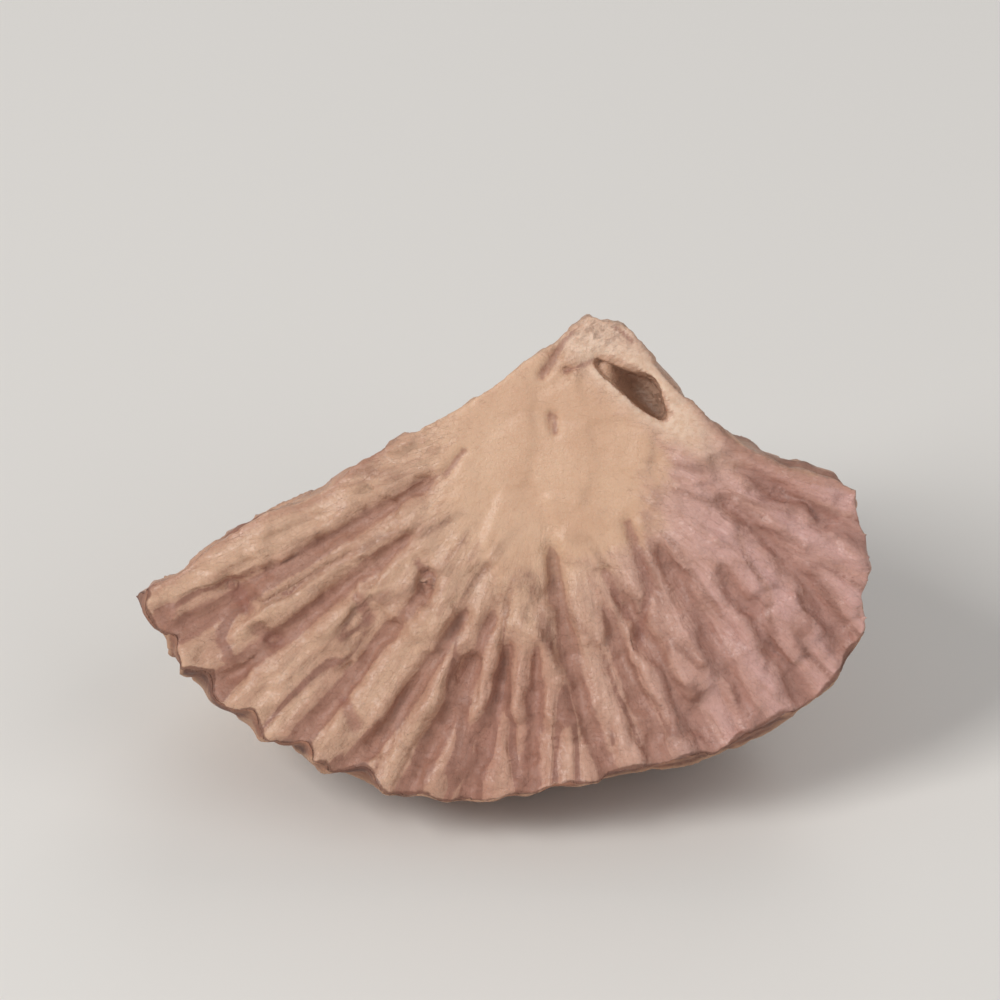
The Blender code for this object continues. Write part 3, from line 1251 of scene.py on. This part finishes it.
        # In the slot, whose tint is partly its own colour and partly painted shade that grows with depth.
        hollow = 0.0 if own or on_flat or not self.fan.slot.holds(point) else 1.0
        return {
            Trait.DEPTH: 0.0 if on_flat or on_skin else -self.skin.outside(point),
            Trait.GROOVE: self.fan.nearest_groove(point)[1] + max(-point.z - self.groove_reach, 0.0),
            Trait.BAND: 1.0 if on_skin else abs(flesh.band(point)),
            Trait.SHEET: 1.0 if on_skin else flesh.partition_gap(point),
            Trait.TONE: self.tone(point, on_fan),
            Trait.BRINK: -self.roof.outside(point) if on_fan else 0.0,
            Trait.FACE: 1.0 if on_fan else 0.0,
            Trait.HOLLOW: hollow * smooth_step(*self.hollow_depths, -self.fan.outside(point)),
            Trait.VEIN: self.skin.vein(direction),
            Trait.SCAR: direction.angle(self.skin.scar) * self.skin.half.x,
            Trait.TORN: self.torn(point),
            Trait.CREASE: self.fan.crease(point)[1] if on_fan else 0.0,
            # The slot's rim: partly its own whiter flesh, partly a painted highlight.
            Trait.LIP: self.lip(point) if on_fan else 0.0,
        }

    # The slot's paler rim: partly its own whiter flesh, partly a painted highlight.
    def lip(self, point: Vector) -> float:
        """How near a point of the fan is to the slot's edge, from 0 to 1."""
        return bell((self.fan.slot.span(point) - 1) * self.fan.slot.half_width, self.lip_width)

    def torn(self, point: Vector) -> float:
        """How torn the flesh is at a point, from 0 to 1 at the nose's tip."""
        return bell(point.x - self.torn_place, self.torn_width) * smooth_step(*self.torn_rise, point.y)

    def tone(self, point: Vector, on_fan: bool) -> float:
        """How brown the flesh is at a point.

        Args:
            point: the point, in the fan's axes.
            on_fan: whether it is on the fan.

        Returns:
            The tone: 1 low in the middle of the fan, and below 0 at the fan's two sides.
        """
        if not on_fan:
            return self.back_tone
        flat = point.xy - self.fan.flesh.core.xy
        middle = bell(math.degrees(math.atan2(flat.y, flat.x)) - self.brown_bearing, self.brown_spread)
        return middle * smooth_step(*self.brown_radii, flat.length) - (1 - middle) * self.side_paleness


@dataclass
class Relief:
    """The fine relief: fibres and splinters along the ribs, chips, a close grain, and pits in the skin.

    Its numbers, core and finish are the tree's inputs, under their own names. Its rises stay in the tree.
    """

    core: Vector
    finish: bpy.types.Material
    fibre_bands: float = 26.0
    fibre_length: float = 5.0
    fibre_height: float = 0.08
    splinter_bands: float = 11.0
    splinter_length: float = 3.2
    splinter_height: float = 0.30
    chip_scale: float = 1.25
    chip_height: float = 0.17
    plane_scale: float = 0.55
    plane_height: float = 0.34
    grain_scale: float = 2.6
    grain_height: float = 0.08
    pit_depth: float = 0.10
    pit_radius: float = 0.32
    pit_spacing: float = 0.75
    pit_density: float = 4.0
    skin_depth: float = 0.05
    softness: int = 1
    wear: int = 3
    seed: int = 7
    # Where the flesh begins, where it gets rugged, and where the relief is calmer.
    inside: Rise = (0.05, 0.4)
    rugged: Rise = (3.5, 8.0, 0.1, 1.0)
    chip_calm: Rise = (0.1, 1.0, 0.15, 1.0)
    grain_calm: Rise = (0.1, 1.0, 0.4, 1.0)
    worn_calm: Rise = (0.2, 1.0, 1.0, 0.3)
    off_flat: Rise = (0.02, 0.3)

    def inputs(self) -> dict[str, tuple[str, object]]:
        """What the tree takes in.

        Returns:
            Each input's kind of socket and value, by its name.
        """
        kinds = {float: "NodeSocketFloat", int: "NodeSocketInt", Vector: "NodeSocketVector",
                 bpy.types.Material: "NodeSocketMaterial"}
        values = {item.name: getattr(self, item.name) for item in fields(self)}
        return {name: (kinds[type(value)], value) for name, value in values.items() if type(value) in kinds}

    def apply(self, piece: bpy.types.Object) -> None:
        """Builds the tree, runs it on the piece and keeps the result as its plain mesh.

        Args:
            piece: the wedge, in millimetres.
        """
        tree = self.tree(piece.name + "_relief")
        modifier = piece.modifiers.new("relief", "NODES")
        modifier.node_group = tree
        given = self.inputs()
        for socket in tree.interface.items_tree:
            if socket.name in given:
                modifier[socket.identifier] = given[socket.name][1]
        make_plain(piece)

    def tree(self, name: str) -> bpy.types.NodeTree:
        """The Geometry Nodes tree, which rounds the worn edges and then raises the relief.

        Args:
            name: the tree's name.

        Returns:
            The tree.
        """
        tree = bpy.data.node_groups.new(name, "GeometryNodeTree")
        tree.interface.new_socket("Geometry", in_out="OUTPUT", socket_type="NodeSocketGeometry")
        tree.interface.new_socket("Geometry", in_out="INPUT", socket_type="NodeSocketGeometry")
        for label, (kind, _) in self.inputs().items():
            tree.interface.new_socket(label, in_out="INPUT", socket_type=kind)
        graph = Graph(tree)
        group = graph.node("NodeGroupInput")
        given = {socket.name: Wire(graph, socket) for socket in group.outputs if socket.name}
        spot = graph.wire("GeometryNodeInputPosition")
        trait = {t: graph.wire("GeometryNodeInputNamedAttribute", {"Name": t.value}, data_type="FLOAT")
                 for t in (Trait.DEPTH, Trait.TORN, Trait.WORN)}
        rounded = self.blur(graph, spot, given["wear"], "FLOAT_VECTOR", trait[Trait.WORN])
        eased = graph.wire("GeometryNodeSetPosition", {"Geometry": given["Geometry"], "Position": rounded})
        height = self.rock(graph, spot, trait, given) + self.pits(graph, eased, trait[Trait.DEPTH], given)
        soft = self.blur(graph, height * spot.dot(UP).step(*self.off_flat), given["softness"], "FLOAT", 1.0)
        raised = soft * trait[Trait.WORN].step(*self.worn_calm)
        offset = graph.wire("GeometryNodeInputNormal") * raised
        moved = graph.wire("GeometryNodeSetPosition", {"Geometry": eased, "Offset": offset})
        real = graph.wire("GeometryNodeRealizeInstances", {"Geometry": moved})
        dressed = graph.wire("GeometryNodeSetMaterial", {"Geometry": real, "Material": given["finish"]})
        graph.node("NodeGroupOutput", {"Geometry": dressed})
        return tree

    def blur(self, graph: Graph, value: Wire, rounds: Wire, kind: str, weight: Feed) -> Wire:
        """Evens a value out over the mesh, in so many rounds, by a weight from 0 to 1."""
        inputs = {"Value": value, "Iterations": rounds, "Weight": weight}
        return graph.wire("GeometryNodeBlurAttribute", inputs, "Value", data_type=kind)

    def rock(self, graph: Graph, spot: Wire, trait: dict[Trait, Wire], given: dict[str, Wire]) -> Wire:
        """The relief of the broken flesh, and the grain that the skin has too.

        Args:
            graph: the tree's graph.
            spot: the place, in mm, upright.
            trait: the wire of each trait.
            given: the tree's inputs.

        Returns:
            The height in mm.
        """
        away = spot - given["core"]
        inside = trait[Trait.DEPTH].step(*self.inside)
        rugged = away.length().step(*self.rugged).most(trait[Trait.TORN])
        fibre = graph.noise(away.drawn(given["fibre_bands"], given["fibre_length"]), 1.0)
        splinter = graph.facets(away.drawn(given["splinter_bands"], given["splinter_length"]))
        drawn = (fibre.swing(given["fibre_height"]) + splinter * given["splinter_height"]) * rugged
        chip = graph.facets(spot, given["chip_scale"]) * given["chip_height"] * rugged.step(*self.chip_calm)
        plane = graph.facets(spot, given["plane_scale"]) * given["plane_height"]
        grain = graph.noise(spot, given["grain_scale"]).swing(given["grain_height"])
        return (drawn + chip + plane) * inside + grain * rugged.step(*self.grain_calm)

    def pits(self, graph: Graph, surface: Wire, depth: Wire, given: dict[str, Wire]) -> Wire:
        """The small pits scattered over the skin.

        Args:
            graph: the tree's graph.
            surface: the mesh that they are scattered on.
            depth: how deep under the skin the flesh is.
            given: the tree's inputs.

        Returns:
            Their height in mm, below zero.
        """
        scatter = graph.wire("GeometryNodeDistributePointsOnFaces", {
            "Mesh": surface,
            "Selection": graph.math("LESS_THAN", depth, given["skin_depth"]),
            "Distance Min": given["pit_spacing"],
            "Density Max": given["pit_density"],
            "Seed": given["seed"],
        }, distribute_method="POISSON")
        near = graph.wire("GeometryNodeProximity", {0: scatter}, "Distance", target_element="POINTS")
        pit = (near.step(0.0, given["pit_radius"]) - 1.0) * given["pit_depth"]
        return pit * (1.0 - depth.step(*self.inside))


def aim(thing: bpy.types.Object, target: Vector, azimuth: float, elevation: float, distance_m: float) -> None:
    """Stands a light or camera round a point, facing it.

    Args:
        thing: the light or camera.
        target: the point, in metres.
        azimuth: where it stands, in degrees to the right of the camera's side.
        elevation: its height above the floor, in degrees.
        distance_m: how far from the point it is.
    """
    turn, lift = math.radians(azimuth), math.radians(elevation)
    way = Vector((math.sin(turn) * math.cos(lift), -math.cos(turn) * math.cos(lift), math.sin(lift)))
    thing.location = target + way * distance_m
    thing.rotation_euler = way.to_track_quat("Z", "Y").to_euler()


@dataclass(frozen=True)
class Lamp:
    """A square soft light, placed by degrees from the camera's side and above the floor."""

    name: str
    azimuth: float
    elevation: float
    distance_m: float
    side_m: float
    power_w: float

    def place(self, target: Vector) -> None:
        """Puts the light in the scene, facing a point.

        Args:
            target: the point, in metres.
        """
        light = bpy.data.lights.new(self.name, "AREA")
        light.size = self.side_m
        light.energy = self.power_w
        aim(add_object(self.name, light), target, self.azimuth, self.elevation, self.distance_m)


@dataclass
class Studio:
    """The pale floor, the soft lights and the camera."""

    floor_side_m: float = 1.6
    floor_colour: Colour = linear(226, 222, 216)
    floor_roughness: float = 0.85
    world_colour: Colour = linear(236, 238, 242)
    world_strength: float = 0.38
    lamps: tuple[Lamp, ...] = (
        Lamp("key", -52.0, 42.0, 0.34, 0.13, 0.72),
        Lamp("fill", 50.0, 40.0, 0.40, 0.30, 0.32),
        Lamp("back", 165.0, 45.0, 0.40, 0.25, 0.22),
    )
    camera_elevation: float = 36.0
    camera_distance_m: float = 0.32
    frame_width_m: float = 0.0315
    clip_start_m: float = 0.01
    sensor: float = 36.0

    def make_floor(self) -> None:
        """The floor, a plain square at the height that the wedge stands at."""
        shape = bmesh.new()
        bmesh.ops.create_grid(shape, x_segments=1, y_segments=1, size=self.floor_side_m / 2)
        mesh = bpy.data.meshes.new("floor")
        shape.to_mesh(mesh)
        shape.free()
        paint = bpy.data.materials.new("floor_finish")
        paint.use_nodes = True
        shader = paint.node_tree.nodes["Principled BSDF"]
        shader.inputs["Base Color"].default_value = self.floor_colour
        shader.inputs["Roughness"].default_value = self.floor_roughness
        mesh.materials.append(paint)
        floor = add_object("floor", mesh)

    def make_camera(self, target: Vector) -> None:
        """The camera, which looks at the fan straight along the fan's own z axis.

        Args:
            target: the point that it looks at.
        """
        lens = bpy.data.cameras.new("camera")
        lens.sensor_width = self.sensor
        lens.lens = self.sensor * self.camera_distance_m / self.frame_width_m
        lens.clip_start = self.clip_start_m
        camera = add_object("camera", lens)
        aim(camera, target, 0.0, self.camera_elevation, self.camera_distance_m)
        bpy.context.scene.camera = camera

    def make(self, low: Vector, high: Vector) -> None:
        """Sets up the whole studio around a box.

        Args:
            low: the object's lowest corner.
            high: its highest corner.
        """
        target = (low + high) / 2
        self.make_floor()
        for lamp in self.lamps:
            lamp.place(target)
        self.make_camera(target)
        world = bpy.data.worlds.new("studio")
        world.use_nodes = True
        shade = world.node_tree.nodes["Background"]
        shade.inputs["Color"].default_value = self.world_colour
        shade.inputs["Strength"].default_value = self.world_strength
        bpy.context.scene.world = world
        bpy.context.scene.view_settings.view_transform = "Standard"


def main() -> None:
    """Builds the wedge and the studio, in that order."""
    logging.basicConfig(level=logging.INFO, format="%(message)s")
    flesh = Flesh()
    skin = Skin()
    wedge = NutPiece(Fan(flesh), Roof(flesh), SideBreak(flesh), skin, Stand(skin)).make()
    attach(wedge, BODY)
    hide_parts(NODE)
    LOG.info("%s: %d faces", wedge.name, len(wedge.data.polygons))
    low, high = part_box(NODE)
    Studio().make(low, high)


if __name__ == "__main__":
    main()
